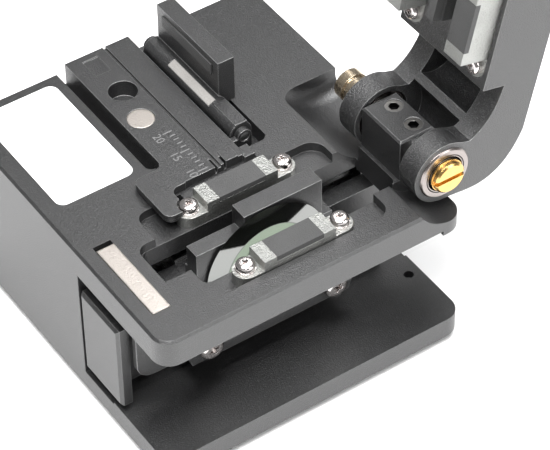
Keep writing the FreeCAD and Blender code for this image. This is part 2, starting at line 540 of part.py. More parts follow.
def coil(x, y, low, high, r, wire, turns):
    """Helical spring of square-ish wire, standing on a seat."""
    steps = 10 * turns
    rise = high - low - 2 * wire
    path = []
    for i in range(steps + 1):
        a = 2 * math.pi * i / 10
        path.append(Vector(x + r * math.cos(a), y + r * math.sin(a), low + wire + rise * i / steps))
    away = (path[1] - path[0]).normalize()
    side = away.cross(Vector(0, 0, 1)).normalize()
    up = side.cross(away)
    ends = [path[0] + side * wire, path[0] + up * wire, path[0] - side * wire, path[0] - up * wire]
    ends.append(ends[0])
    return Part.Wire(Part.makePolygon(path)).makePipeShell([Part.makePolygon(ends)], True, False, 1)


def on_lid(obj, name):
    """Turn a finished piece open with the lid; pieces placed by the sheet go in a group first."""
    if obj.TypeId != "Part::Feature":
        obj = group(obj)
    obj.Placement = OPEN
    return node(obj, name)


# back of the arm: in from the hub's rim, down from the lid's top
SIDE = [(val("hub_r") - val(far), val("lid_top") - val(down_by))
        for far, down_by in (("side_u1", "side_w1"), ("side_u2", "side_w2"), ("side_u3", "side_w3"),
                             ("side_u4", "side_w4"))]
SIDE.append((val("hub_r") - val("side_u5"), val("lid_top")))
THROAT = corner_points(("throat_u1", "throat_w1"), ("throat_u2", "throat_w2"), ("throat_u3", "throat_w3"),
                       ("throat_u4", "throat_w4"), ("throat_u5", "throat_w5"))


def arm_face():
    """Closed side profile of one lid arm, hub included, in the lid's own plane."""
    r = val("hub_r")
    top, under = val("lid_top"), val("lid_under")
    back = Part.BSplineCurve()
    spine = [Vector(0, u, w) for u, w in SIDE]
    start = Vector(0, r, val("side_w0"))
    back.interpolate([start] + spine)
    throat = Part.BSplineCurve()
    throat.interpolate([Vector(0, u, w) for u, w in THROAT])
    hub_in = Vector(0, *THROAT[0])
    hub_low = Vector(0, -r * math.cos(0.2), -r * math.sin(0.2))
    edges = [back.toShape(),
             Part.makeLine(spine[-1], Vector(0, val("throat_u"), top)),
             Part.makeLine(Vector(0, val("throat_u"), top), Vector(0, val("throat_u"), THROAT[-1][1])),
             Part.makeLine(Vector(0, val("throat_u"), THROAT[-1][1]), Vector(0, *THROAT[-1])),
             throat.toShape(),
             Part.makeLine(hub_in, hub_low),
             Part.makeLine(hub_low, start)]
    return Part.Face(Part.Wire(Part.__sortEdges__(edges)))


face = arm_face()
arms = []
for x0 in (val("near_in"), val("far_out")):
    arm = face.extrude(Vector(val("lug_t"), 0, 0))
    arm.translate(Vector(x0, 0, 0))
    hub = Part.makeCylinder(val("hub_r"), val("lug_t"), Vector(x0, 0, 0), Vector(1, 0, 0))
    arms.append(arm.fuse(hub))
web = face.extrude(Vector(val("near_in") - val("far_in") + 2 * val("web_in"), 0, 0))
web.translate(Vector(val("far_in") - val("web_in"), 0, 0))
for u, w, r in ((0, 0, val("web_turn")),
                (val("web_scoop_u"), val("web_scoop_w"), val("web_scoop")),
                (val("web_notch_u"), val("web_notch_w"), val("web_notch"))):
    web = web.cut(Part.makeCylinder(r, val("near_out"), Vector(0, u, w), Vector(1, 0, 0)))
x_left = val("hinge_x") - val("lug_out")
w_front = val("near_out") - x_left
front = Part.makeBox(w_front, val("throat_u") - val("lid_front"), val("lid_top") - val("lid_under"),
                     Vector(x_left, val("lid_front"), val("lid_under")))
lip = Part.makeBox(w_front, val("lid_lip") - val("lid_front"),
                   val("lid_under") - val("lid_lip_z") + val("web_in"),
                   Vector(x_left, val("lid_front"), val("lid_lip_z")))
lid = front.fuse([lip, web] + arms).removeSplitter()
round_edges = [e for e in lid.Edges if e.BoundBox.XLength > w_front / 2
               and e.CenterOfMass.y < val("lid_front") + 0.1
               and e.CenterOfMass.z > val("lid_top") - 0.1]
lid = lid.makeFillet(val("lid_round"), round_edges)
# bearing seats
for x0 in (val("near_in"), val("far_out")):
    lid = lid.cut(Part.makeCylinder(val("brg_r"), val("lug_t"), Vector(x0, 0, 0), Vector(1, 0, 0)))
# seats of the upper clamps, their springs and posts, the anvil slot, the front magnet
off_y = val("cl_y") - val("hinge_y")
depth = val("up_foot_t") + val("up_travel") + val("slide_gap")
tools = []
for cx in (val("cl_a_x"), val("cl_b_x")):
    wide = val("cl_w") + 2 * val("slide_gap")
    tools.append(Part.makeBox(wide, 2 * val("cl_hole"), depth,
                              Vector(cx - wide / 2, off_y - val("cl_hole"), val("lid_under"))))
    for side in (-1, 1):
        end = Vector(cx, off_y + side * val("cl_hole"), val("lid_under"))
        tools.append(Part.makeCylinder(val("cl_foot_r") + val("slide_gap"), depth, end))
        tools.append(Part.makeCylinder(val("screw_r"), val("screw_l"), end))
        seat = Vector(cx, off_y + side * val("spr_off"), val("lid_under"))
        tools.append(Part.makeCylinder(val("spr_bore"), val("spr_seat") - val("lid_under"), seat))
aw = val("anvil_w") + 2 * val("anvil_fit")
al = val("anvil_l") + 2 * val("anvil_fit")
tools.append(Part.makeBox(aw, al, val("anvil_room") - val("lid_under"),
                          Vector(val("anvil_x") - aw / 2, off_y - al / 2, val("lid_under"))))
tools.append(Part.makeCylinder(val("plug_r"), val("lid_top") - val("plug_bore") + val("past"),
                               Vector(val("anvil_x"), off_y, val("plug_bore"))))
mag_c = (val("mag_x0") + val("mag_gap") + val("mag_x1")) / 2
tools.append(Part.makeBox(val("lid_mag_l"), val("lid_mag_w"), val("lid_mag_t"),
                          Vector(mag_c - val("lid_mag_l") / 2, val("mag_y0") - val("hinge_y"),
                                 val("lid_lip_z"))))
for tool in tools:
    lid = lid.cut(tool)
lid_obj = doc.addObject("Part::Feature", "lid_arm")
lid_obj.Shape = lid.removeSplitter()
on_lid(lid_obj, "lid_arm")

outer = [cut(fuse(rod("x", "%s + brg_cham" % x0, "0", "0", "brg_r", "lug_t - 2*brg_cham"),
                  cone("x", x0, "0", "0", "brg_r - brg_cham", "brg_r", "brg_cham"),
                  cone("x", "%s + lug_t - brg_cham" % x0, "0", "0", "brg_r", "brg_r - brg_cham",
                       "brg_cham")),
             rod("x", "%s - past" % x0, "0", "0", "race_out", "lug_t + 2*past")) for x0 in BEARINGS]
on_lid(group(*outer), "bearing_outer_rings")
MAG_C = "(mag_x0 + mag_gap + mag_x1)/2"
on_lid(box(MAG_C + " - lid_mag_l/2 + mag_fit", MAG_C + " + lid_mag_l/2 - mag_fit",
           "mag_y0 - hinge_y + mag_fit", "mag_y0 - hinge_y + lid_mag_w - mag_fit", "lid_lip_z",
           "lid_lip_z + lid_mag_t"), "lid_magnet")

UP = "lid_under + up_foot_t"
posts = []
for tag, cx in (("a", "cl_a_x"), ("b", "cl_b_x")):
    low_y = "cl_y - hinge_y"
    solids = [box("%s - cl_w/2" % cx, "%s + cl_w/2" % cx, "%s - cl_hole" % low_y,
                  "%s + cl_hole" % low_y, "lid_under", UP)]
    holes = []
    for side in ("-", "+"):
        py = "%s %s cl_hole" % (low_y, side)
        solids.append(rod("z", cx, py, "lid_under", "cl_foot_r", "up_foot_t"))
        holes.append(rod("z", cx, py, "lid_under - past", "up_hole_r", "up_foot_t + 2*past"))
        posts.append(pan_screw(cx, py, "lid_under", False))
    solids.append(box("%s - cl_w/2" % cx, "%s + cl_w/2" % cx, "%s - cl_half" % low_y,
                      "%s + cl_half" % low_y, "up_pad_z", UP))
    seat = box("%s - cl_w/2 - past" % cx, "%s + cl_w/2 + past" % cx, "%s - cl_half + cl_pad" % low_y,
               "%s + cl_half - cl_pad" % low_y, "up_pad_z - past", "up_pad_z + cl_rub")
    on_lid(cut(fuse(*solids), seat, *holes), "lid_clamp_%s_bracket" % tag)
    on_lid(box("%s - cl_w/2" % cx, "%s + cl_w/2" % cx, "%s - cl_half + cl_pad" % low_y,
               "%s + cl_half - cl_pad" % low_y, "up_pad_z", "up_pad_z + cl_rub"),
           "lid_clamp_%s_rubber" % tag)
    low_z = val("lid_under") + val("up_foot_t")
    spring = doc.addObject("Part::Feature", "springs_" + tag)
    spring.Shape = Part.makeCompound([coil(val(cx), off_y + side * val("spr_off"), low_z, val("spr_seat"),
                                           val("spr_r"), val("spr_wire"), 4) for side in (-1, 1)])
    on_lid(spring, "lid_clamp_%s_springs" % tag)
on_lid(group(*posts), "lid_clamp_screws")

ay = "cl_y - hinge_y"
on_lid(box("anvil_x - anvil_w/2", "anvil_x + anvil_w/2", "%s - anvil_l/2" % ay,
           "%s + anvil_l/2" % ay, "anvil_tip_z + anvil_tip_h", "anvil_top"), "anvil_holder")
on_lid(box("anvil_x - anvil_edge", "anvil_x + anvil_edge", "%s - anvil_l/2" % ay, "%s + anvil_l/2" % ay,
           "anvil_tip_z", "anvil_tip_z + anvil_tip_h"), "anvil_tip")
spring = doc.addObject("Part::Feature", "anvil_coil")
spring.Shape = Part.makeCompound([coil(val("anvil_x"), off_y, val("anvil_top"), val("plug_low"),
                                       val("anvil_spr_r"), val("spr_wire"), 5)])
on_lid(spring, "anvil_spring")
on_lid(cut(rod("z", "anvil_x", ay, "plug_low", "plug_r", "lid_top - plug_low"),
           box("anvil_x - plug_slot_half", "anvil_x + plug_slot_half", "%s - plug_slot_w/2" % ay,
               "%s + plug_slot_w/2" % ay, "lid_top - plug_slot_d", "lid_top + past")), "anvil_plug")

# ---- rail, carriage and slider ----
rail_top = "rail_x + rail_h"
SPOTS = ["%d*rail_pitch" % k for k in (-1, 0, 1)]
groove = ("rail_x + groove_x", "rail_x + groove_x + groove_w", "-rail_half - past", "rail_half + past")
rail = cut(box("rail_x", rail_top, "-rail_half", "rail_half", "rail_z - rail_w/2", "rail_z + rail_w/2"),
           box(*groove, "rail_z + rail_w/2 - groove_d", "rail_z + rail_w/2 + past"),
           box(*groove, "rail_z - rail_w/2 - past", "rail_z - rail_w/2 + groove_d"),
           *[rod("x", "rail_x + rail_bore_x", y, "rail_z", "rail_bore_r", "rail_h - rail_bore_x + past")
             for y in SPOTS],
           *[rod("x", "rail_x - past", y, "rail_z", "rail_hole_r", "rail_h + 2*past") for y in SPOTS])
node(rail, "linear_rail")
node(group(*[cut(fuse(rod("x", "rail_x + rail_bore_x", y, "rail_z", "rail_head_r", "rail_head_h"),
                      rod("x", "rail_x", y, "rail_z", "rail_screw_r", "rail_bore_x + past")),
                 hexbar("x", "rail_x + rail_bore_x + rail_head_h - rail_hex_d", y, "rail_z", "rail_hex",
                        "rail_hex_d + past")) for y in SPOTS]), "rail_screws")
FOUR = [("car_y %s car_off" % a, "rail_z %s car_off" % b) for a in "-+" for b in "-+"]
carriage = cut(box("rail_x + car_clear", "car_top", "car_y - car_half", "car_y + car_half",
                   "rail_z - car_w/2", "rail_z + car_w/2"),
               box("rail_x", "%s + car_roof" % rail_top, "car_y - car_half - past",
                   "car_y + car_half + past", "rail_z - rail_w/2 - car_side",
                   "rail_z + rail_w/2 + car_side"),
               *[rod("x", "car_top - car_tap_l", y, z, "car_tap_r", "car_tap_l + past") for y, z in FOUR])
rib = ("rail_x + groove_x + rib_fit", "rail_x + groove_x + groove_w - rib_fit", "car_y - car_half",
       "car_y + car_half")
ribs = [box(*rib, "rail_z + rail_w/2 - rib_in", "rail_z + rail_w/2 + past"),
        box(*rib, "rail_z - rail_w/2 - past", "rail_z - rail_w/2 + rib_in")]
node(fuse(carriage, *ribs), "rail_carriage")

slab = fuse(box("car_top", "sl_x1", "sl_front", "sl_back", "sl_low", "sl_top"),
            box("nose_x0", "nose_x1", "sl_front - nose_t", "sl_front", "sl_low", "sl_top"))
through = "sl_x1 - car_top + 2*past"
slab = cut(slab, *[rod("x", "car_top - past", y, z, "car_hole_r", through) for y, z in FOUR],
           *[rod("x", "car_top + car_bore_x", y, z, "car_bore_r", through) for y, z in FOUR],
           *[rod("x", "car_top + gs_tap_in", gy, "gs_z", "gs_r - gs_core", through)
             for gy in ("gs_y0", "gs_y1")])
doc.recompute()
node(soften(slab, "nose_cham", lambda e: e.BoundBox.YMax < val("sl_front") - val("nose_t") + 1e-4,
            "Part::Chamfer"), "slider_body")
node(group(*[cut(fuse(rod("x", "car_top + car_bore_x", y, z, "car_head_r", "car_head_h"),
                      rod("x", "car_top - car_screw_in", y, z, "car_screw_r",
                          "car_screw_in + car_bore_x + past/5")),
                 hexbar("x", "car_top + car_bore_x + car_head_h - car_hex_d", y, z, "car_hex",
                        "car_hex_d + past")) for y, z in FOUR]), "carriage_screws")

bosses = [box("sl_x1", "grd_x0", "%s - boss_half" % gy, "%s + boss_half" % gy, "hold_low",
              "gs_z + boss_up") for gy in ("gs_y0", "gs_y1")]
holder = fuse(box("sl_x1", "hold_x1", "hold_y0", "hold_y1", "hold_low", "hold_shelf"),
              box("hold_left", "hold_x1", "hold_y0", "hold_step", "hold_neck", "hold_mid"),
              box("sl_x1", "hold_x1", "hold_step", "hold_hi_y", "hold_neck", "hold_hi"), *bosses)
holder = cut(holder, *[rod("x", "sl_x1 - past", gy, "gs_z", "gs_r + hole_gap", "grd_x0 - sl_x1 + 2*past")
                       for gy in ("gs_y0", "gs_y1")],
             rod("x", "hold_x1 - bush_l", "wheel_y", "wheel_z", "bush_r", "bush_l + past"),
             rod("x", "sl_x1 - past", "wheel_y", "wheel_z", "axle_r", "hold_x1 - sl_x1 + 2*past"))
node(holder, "blade_holder")
s_guard = new_body("blade_guard")
s = outline(sketch(s_guard, "YZ_Plane", "grd_x0"), [
    ("grd_y0", "grd_low"), ("grd_ear_y0", "grd_low"), ("grd_ear_y0 + grd_slope", "grd_ear"),
    ("grd_ear_y1 - grd_slope", "grd_ear"), ("grd_ear_y1", "grd_low"), ("grd_y1", "grd_low"),
    ("grd_y1", "grd_top"), ("grd_y0", "grd_top")])
feature(s_guard, "Pad", s, "grd_x1 - grd_x0")
s = sketch(s_guard, "YZ_Plane", "grd_x1")
ring(s, "wheel_y", "wheel_z", "grd_notch")
feature(s_guard, "Pocket", s, "grd_x1 - grd_x0 + past")
s = sketch(s_guard, "YZ_Plane", "grd_x1")
ring(s, "gs_y0", "gs_z", "gs_r + hole_gap")
ring(s, "gs_y1", "gs_z", "gs_r + hole_gap")
feature(s_guard, "Pocket", s, "grd_x1 - grd_x0 + past")
dress(s_guard, "Fillet", "grd_r", lambda e: e.BoundBox.YLength < 1e-4
      and e.BoundBox.XLength > 0.9 * (val("grd_x1") - val("grd_x0"))
      and (abs(e.CenterOfMass.y - val("grd_y0")) < 1e-3 or abs(e.CenterOfMass.y - val("grd_y1")) < 1e-3)
      and abs(e.CenterOfMass.z - val("grd_low")) < 1e-3)
guards = []
for gy in ("gs_y0", "gs_y1"):
    guards.append(fuse(rod("x", "grd_x1", gy, "gs_z", "gs_head_r", "gs_head_h - gs_bevel"),
                       cone("x", "grd_x1 + gs_head_h - gs_bevel", gy, "gs_z", "gs_head_r",
                            "gs_head_r - gs_bevel", "gs_bevel"),
                       rod("x", "sl_x1 + gs_gap", gy, "gs_z", "gs_r", "grd_x1 - sl_x1"),
                       rod("x", "car_top + gs_tip_in", gy, "gs_z", "gs_r - gs_core - hole_gap",
                           "sl_x1 - car_top")))
node(group(*guards), "guard_screws")

# blade wheel: flat hub, long front bevel, short back bevel, sharp rim
wheel = new_body("blade_wheel")
s = sketch(wheel, "XY_Plane", "wheel_z")
s.setExpression("AttachmentOffset.Base.y", bind("wheel_y"))
outline(s, [("wheel_x0", "wheel_bore"), ("wheel_x1", "wheel_bore"), ("wheel_x1", "wheel_flat"),
            ("wheel_edge", "wheel_r"), ("wheel_x0", "wheel_back")])
rev = wheel.newObject("PartDesign::Revolution", "wheel_turn")
rev.Profile = s
rev.ReferenceAxis = (s, ["H_Axis"])
rev.Angle = 360
node(cut(fuse(rod("x", "hold_x1 - bush_l", "wheel_y", "wheel_z", "bush_r - shaft_fit", "bush_l"),
              rod("x", "hold_x1", "wheel_y", "wheel_z", "wheel_bore - bush_fit",
                  "wheel_x1 - hold_x1 + stack_gap")),
         rod("x", "hold_x1 - bush_l - past", "wheel_y", "wheel_z", "axle_r + shaft_fit",
             "wheel_x1 - hold_x1 + bush_l + 3*past")), "blade_bush")
node(cut(rod("x", "wheel_x1 + stack_gap", "wheel_y", "wheel_z", "flange_r", "flange_t"),
         rod("x", "wheel_x1 - past", "wheel_y", "wheel_z", "axle_r + shaft_fit", "flange_t + 3*past")),
     "blade_flange")
axle_seat = "wheel_x1 + stack_gap + flange_t"
axle = fuse(rod("x", "sl_x1 + axle_gap", "wheel_y", "wheel_z", "axle_r", axle_seat + " - sl_x1"),
            rod("x", axle_seat, "wheel_y", "wheel_z", "axle_head_r", "axle_head_h"))
node(cut(axle, hexbar("x", axle_seat + " + axle_head_h - axle_hex_d", "wheel_y", "wheel_z", "axle_hex",
                      "axle_hex_d + past")), "blade_screw")

# ---- fibre adapter ----
def layer(z0, z1, inset):
    """One layer of the adapter plate: long plate and the tab at its front right."""
    return fuse(box("ad_left", "ad_right", "ad_front", "ad_back", z0, z1),
                box("tab_left + %s" % inset, "ad_right + tab_step", "tab_front + %s" % inset,
                    "ad_front + past", z0, z1),
                box("ad_right", "tab_right - %s" % inset, "tab_front + %s" % inset, "tab_notch", z0, z1))


doc.recompute()
tab_out = [(val("tab_left"), val("tab_front")), (val("tab_right"), val("tab_front"))]
tab_in = [(val("tab_left"), val("ad_front")), (val("ad_right"), val("tab_notch"))]
top = layer("ad_seam", "ad_top", "0")
top = soften(top, "tab_r", lambda e: upright(e, tab_out + tab_in))
low = layer("deck_top", "ad_seam", "seam_in")
low = soften(low, "tab_low_r", lambda e: upright(e, tab_out + tab_in, 0.5))
front_screw = ("cl_a_x", "cl_y - cl_hole")
ears = []
for x0 in ("pivot_x0 - ear_t - ear_gap", "pivot_x1 + ear_gap"):
    ears.append(box(x0, "%s + ear_t" % x0, "ad_back - ear_in", "pivot_y + ear_r", "keel_low", "pivot_z"))
    ears.append(rod("x", x0, "pivot_y", "pivot_z", "ear_r", "ear_t"))
plate = cut(fuse(top, low,
                 box("ad_left", "keel_right", "ad_front", "ad_back - keel_in", "keel_low", "deck_top"),
                 box("keel_right - past", "keel_tip", "keel_tip_front", "ad_back - keel_in", "keel_low",
                     "deck_top"),
                 box("guide_x0", "ad_right", "vee_y + fin_off + fin_w", "guide_back", "ad_top",
                     "ad_top + guide_h"),
                 box("nub_x0", "nub_x1", "ad_back - nub_in", "nub_back", "deck_top", "ad_top - nub_low"),
                 *ears),
            box("ad_left - past", "ad_right + past", "vee_y - vee_w/2", "vee_y + vee_w/2",
                "ad_top - vee_d", "ad_top + past"),
            box("fin_x0", "ad_right + past", "vee_y - fin_off", "vee_y - fin_off + fin_w",
                "ad_top - fin_d", "ad_top + past"),
            box("fin_x0 + fin_lag", "ad_right + past", "vee_y + fin_off", "vee_y + fin_off + fin_w",
                "ad_top - fin_d", "ad_top + past"),
            rod("z", "port_x", "port_y", "ad_top - port_d", "port_r", "port_d + past"),
            rod("z", "disc_x", "disc_y", "ad_top - disc_h", "disc_r + mag_fit", "disc_h + past"),
            box("mark_x0", "mark_x1", "mark_y0", "mark_y1", "ad_top - mark_d", "ad_top + past"),
            rod("z", *front_screw, "deck_top - past", "cl_foot_r + foot_room",
                "past - ledge_depth + cl_foot_t + foot_rise"),
            rod("z", *front_screw, "deck_top - past", "wash_r + wash_room", "ad_top - deck_top + 2*past"),
            rod("x", "pivot_x0 - ear_t - past", "pivot_y", "pivot_z", "pivot_pin + pivot_fit",
                "nub_x1 - pivot_x0 + ear_t + 2*past"))
node(plate, "adapter_plate")
node(rod("z", "disc_x", "disc_y", "ad_top - disc_h", "disc_r", "disc_h - disc_gap"), "adapter_magnet")
node(rod("x", "pivot_x0 - ear_t", "pivot_y", "pivot_z", "pivot_pin", "pivot_x1 - pivot_x0 + 2*ear_t"),
     "lever_pin")


def tilted(o, angle):
    """Turn a primitive drawn about the lever axis by an angle round that axis."""
    g = group(o)
    g.Placement.Rotation = Rotation(Vector(1, 0, 0), angle)
    for name, text in (("y", "pivot_y"), ("z", "pivot_z")):
        g.setExpression("Placement.Base." + name, bind(text))
    return g


STRIP = ("strip_x0", "strip_x1", "-strip_half", "strip_half", "strip_z")
PAD = ("arm_x0 + pad_in", "arm_x1 - pad_in")
arm = cut(fuse(rod("x", "pivot_x0", "pivot_y", "pivot_z", "pivot_r", "pivot_x1 - pivot_x0"),
               box("arm_x0", "arm_x1", "pivot_y + arm_gap", "pivot_y + arm_gap + arm_t", "pivot_z",
                   "pivot_z + arm_up"),
               box("arm_x0", "arm_x1", "pivot_y", "pivot_y + arm_gap + arm_t", "pivot_z",
                   "pivot_z + arm_sole"),
               box("toe_x0", "pivot_x1", "pivot_y - toe_front", "pivot_y + toe_back", "pivot_z",
                   "pivot_z + pivot_r")),
          rod("x", "pivot_x0 - past", "pivot_y", "pivot_z", "pivot_pin", "pivot_x1 - pivot_x0 + 2*past"),
          tilted(box(*STRIP, "pivot_r + past"), val("arm_tilt")),
          box(*PAD, "pivot_y", "pivot_y + arm_gap + pad_sunk", "pivot_z + pad_low",
              "pivot_z + pad_high"))
node(arm, "lever_arm")
node(box(*PAD, "pivot_y + pad_gap", "pivot_y + arm_gap + pad_sunk", "pivot_z + pad_low",
         "pivot_z + pad_high"), "lever_pad")
node(tilted(box(*STRIP, "strip_z + strip_t"), val("arm_tilt")), "lever_strip")

# ---- check and export ----
doc.recompute()
bad = []
for o in doc.Objects:
    if any(word in o.State for word in ("Invalid", "Error")):
        bad.append((o.Label, o.State))
for o in NODES:
    if o.Shape.isNull() or not o.Shape.isValid():
        bad.append((o.Label, "shape"))
if bad:
    raise RuntimeError("not built: %s" % bad)
for o in NODES:
    o.Shape.exportStep("parts/%s.step" % o.Label)
    print("%-26s solids %d volume %.2f" % (o.Label, len(o.Shape.Solids), o.Shape.Volume))
print("nodes", len(NODES))
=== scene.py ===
"""Looks of a bench fibre cleaver: finishes, screw heads, label and scale around the CAD frame.

Metres, +Z up, +X along the fibre, +Y towards the lid's hinge.
"""

import json
import math

import bmesh
import bpy
from mathutils import Matrix, Vector


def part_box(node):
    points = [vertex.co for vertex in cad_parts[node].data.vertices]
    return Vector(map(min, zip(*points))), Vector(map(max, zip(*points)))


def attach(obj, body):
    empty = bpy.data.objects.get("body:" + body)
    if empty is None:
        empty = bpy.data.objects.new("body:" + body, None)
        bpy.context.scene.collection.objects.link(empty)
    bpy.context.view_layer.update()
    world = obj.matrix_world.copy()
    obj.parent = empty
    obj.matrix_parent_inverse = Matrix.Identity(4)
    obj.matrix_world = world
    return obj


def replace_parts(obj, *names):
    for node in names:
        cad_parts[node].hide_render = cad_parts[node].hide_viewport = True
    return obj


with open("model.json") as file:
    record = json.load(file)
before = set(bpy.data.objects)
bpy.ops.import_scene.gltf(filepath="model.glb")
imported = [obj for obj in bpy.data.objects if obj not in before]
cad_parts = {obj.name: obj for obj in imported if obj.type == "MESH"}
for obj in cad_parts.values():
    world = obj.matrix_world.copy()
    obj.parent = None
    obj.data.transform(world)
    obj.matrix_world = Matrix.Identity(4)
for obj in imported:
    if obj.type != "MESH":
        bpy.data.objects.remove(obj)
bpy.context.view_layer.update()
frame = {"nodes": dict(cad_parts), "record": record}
NODES = frame["nodes"]
MM = 0.001


# ---------------------------------------------------------------- shader maths
class Value:
    """A shader socket that takes ordinary arithmetic."""

    def __init__(self, shader, socket):
        self.shader = shader
        self.socket = socket

    def _math(self, operation, first, second):
        made = self.shader.node("ShaderNodeMath", {"operation": operation}, first, second)
        return Value(self.shader, made.outputs[0])

    def __add__(self, other):
        return self._math("ADD", self, other)

    def __radd__(self, other):
        return self._math("ADD", other, self)

    def __sub__(self, other):
        return self._math("SUBTRACT", self, other)

    def __rsub__(self, other):
        return self._math("SUBTRACT", other, self)

    def __mul__(self, other):
        return self._math("MULTIPLY", self, other)

    def __rmul__(self, other):
        return self._math("MULTIPLY", other, self)

    def __pow__(self, other):
        return self._math("POWER", self, other)

    def above(self, other):
        """1 where this is greater than other, 0 elsewhere."""
        return self._math("GREATER_THAN", self, other)

    def limited(self):
        """Held between 0 and 1."""
        made = self.shader.node("ShaderNodeClamp", {}, self)
        return Value(self.shader, made.outputs[0])


class Shader:
    """One material with its main surface shader."""

    def __init__(self, name):
        self.material = bpy.data.materials.new(name)
        self.material.use_nodes = True
        self.tree = self.material.node_tree
        self.surface = self.tree.nodes["Principled BSDF"]

    def link(self, socket, value):
        """Join a value or a socket to a socket, or set a plain number or colour on it."""
        if isinstance(value, Value):
            value = value.socket
        if isinstance(value, bpy.types.NodeSocket):
            self.tree.links.new(value, socket)
        else:
            socket.default_value = value

    def node(self, kind, settings=None, *places, **named):
        """Add a node: settings first, then its sockets in order or by name."""
        made = self.tree.nodes.new(kind)
        for key, value in (settings or {}).items():
            setattr(made, key, value)
        for socket, value in zip(made.inputs, places):
            self.link(socket, value)
        for key, value in named.items():
            self.link(made.inputs[key.replace("_", " ")], value)
        return made

    def place(self):
        """Position on the object, in metres."""
        return self.node("ShaderNodeTexCoord").outputs["Object"]

    def axes(self):
        """Position on the object as three numbers."""
        parts = self.node("ShaderNodeSeparateXYZ", {}, self.place())
        return [Value(self, out) for out in parts.outputs]

    def noise(self, scale, detail=3.0, rough=0.5, stretch=None):
        """Even noise, or noise drawn out by a scale for each axis."""
        where = self.place()
        if stretch:
            where = self.node("ShaderNodeMapping", {}, where, Scale=stretch).outputs[0]
        made = self.node("ShaderNodeTexNoise", {}, Vector=where, Scale=scale, Detail=detail,
                         Roughness=rough)
        return Value(self, made.outputs["Fac"])

    def mix(self, factor, one, two):
        """Blend of two colours."""
        made = self.node("ShaderNodeMix", {"data_type": "RGBA"}, factor)
        self.link(made.inputs[6], one)
        self.link(made.inputs[7], two)
        return made.outputs[2]

    def softened(self, radius):
        """Normals rounded off along edges."""
        return self.node("ShaderNodeBevel", {"samples": 4}, Radius=radius).outputs[0]

    def lean(self, soft):
        """How far rounded normals lean from the flat ones: 0 on a face, more along an edge."""
        flat = self.node("ShaderNodeNewGeometry").outputs["Normal"]
        facing = self.node("ShaderNodeVectorMath", {"operation": "DOT_PRODUCT"}, soft, flat)
        return (1 - Value(self, facing.outputs["Value"])).limited()

    def bump(self, height, strength, distance, normal=None):
        """Raise the surface by a height, on top of the softened normals where they are given."""
        made = self.node("ShaderNodeBump", {}, Strength=strength, Distance=distance, Height=height)
        if normal is not None:
            self.link(made.inputs["Normal"], normal)
        self.link(self.surface.inputs["Normal"], made.outputs[0])

    def put(self, **named):
        """Feed sockets of the main surface shader."""
        for key, value in named.items():
            self.link(self.surface.inputs[key.replace("_", " ")], value)


def grey(level, tint=(1, 1, 1)):
    """A grey of that level, leaning to a tint."""
    return tuple(level * t for t in tint) + (1,)


# ---------------------------------------------------------------- finishes
DYE = 0.007             # how light black dye is
BARE_METAL = 0.35       # aluminium where the dye is rubbed off
GRAIN_METAL = 0.30      # aluminium that glints in the tips of the grain
SKIN_GRAIN = 5000       # moulded skin, grains for each metre


def anodised(name, rough=0.36, grain=4600, slope=0.35, edge=1.2, radius=0.16, sparkle=0.10):
    """Bead-blasted aluminium, dyed black: bright grains, and the dye thinner on worn edges."""
    m = Shader(name)
    soft = m.softened(radius * MM)
    blast = m.noise(grain, 2.0, 0.7)
    cloud = m.noise(140, 3.0)
    rub = m.noise(900, 4.0, 0.65)
    worn = ((m.lean(soft) - 0.04) * edge * (rub * 2.6 - 0.7)).limited()
    fleck = ((blast - 0.54) * 8).limited() * sparkle
    dye = m.mix(cloud, grey(DYE * 0.8, (0.98, 0.98, 1.06)), grey(DYE * 1.25, (0.99, 0.99, 1.04)))
    grained = m.mix(fleck, dye, grey(GRAIN_METAL))
    m.put(Base_Color=m.mix(worn, grained, grey(BARE_METAL)),
          Roughness=(rough - 0.16 + 0.32 * blast).limited(),
          Metallic=(worn * 0.7 + fleck).limited(), Specular_IOR_Level=1.0)
    m.bump(blast, 1.0, slope / grain, soft)
    return m.material


def machined(name, colour, rough, grain=4000, lines=None, slope=0.04, stain=0.12, radius=0.08,
             speck=0.0):
    """Bright metal with an even frost, or with fine parallel tool marks where lines are given."""
    m = Shader(name)
    soft = m.softened(radius * MM)
    marks = m.noise(1.0, 2.0, 0.6, stretch=lines) if lines else m.noise(grain, 2.0, 0.6)
    cloud = m.noise(420, 4.0, 0.6)
    stained = tuple(c * (1 - stain) for c in colour[:3]) + (1,)
    coat = m.mix((cloud * 0.6 + marks * 0.4).limited(), stained, colour)
    if speck:
        spots = m.noise(3600, 3.0, 0.6).above(1 - speck) * 0.5
        coat = m.mix(spots, coat, grey(0.12))
    m.put(Base_Color=coat, Roughness=(rough - 0.08 + 0.16 * marks).limited(), Metallic=1.0)
    m.bump(marks, 1.0, slope / grain, soft)
    return m.material


def soft_black(name, level, rough=0.55, tint=(1, 1, 1)):
    """Moulded rubber or plastic with a fine matt skin."""
    m = Shader(name)
    soft = m.softened(0.10 * MM)
    skin = m.noise(SKIN_GRAIN, 3.0, 0.55)
    cloud = m.noise(250, 2.0)
    patchy = m.mix(cloud * 0.4 + skin * 0.6, grey(level * 0.6, tint), grey(level * 1.4, tint))
    m.put(Base_Color=patchy, Roughness=rough - 0.05 + 0.1 * skin)
    m.bump(skin, 1.0, 0.5 / SKIN_GRAIN, soft)
    return m.material


def from_axle(m, node):
    """Distance from the axis that runs along X through the middle of a turned node."""
    low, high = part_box(node)
    place = m.axes()
    off = [place[n] - (low[n] + high[n]) / 2 for n in (1, 2)]
    return (off[0] ** 2 + off[1] ** 2) ** 0.5


def rings(m, radius, scale):
    """Noise in rings round that axis; scale counts the rings in a millimetre."""
    made = m.node("ShaderNodeTexNoise", {"noise_dimensions": "1D"}, W=radius * (1 / MM), Scale=scale,
                  Detail=3.0, Roughness=0.6)
    return Value(m, made.outputs["Fac"])


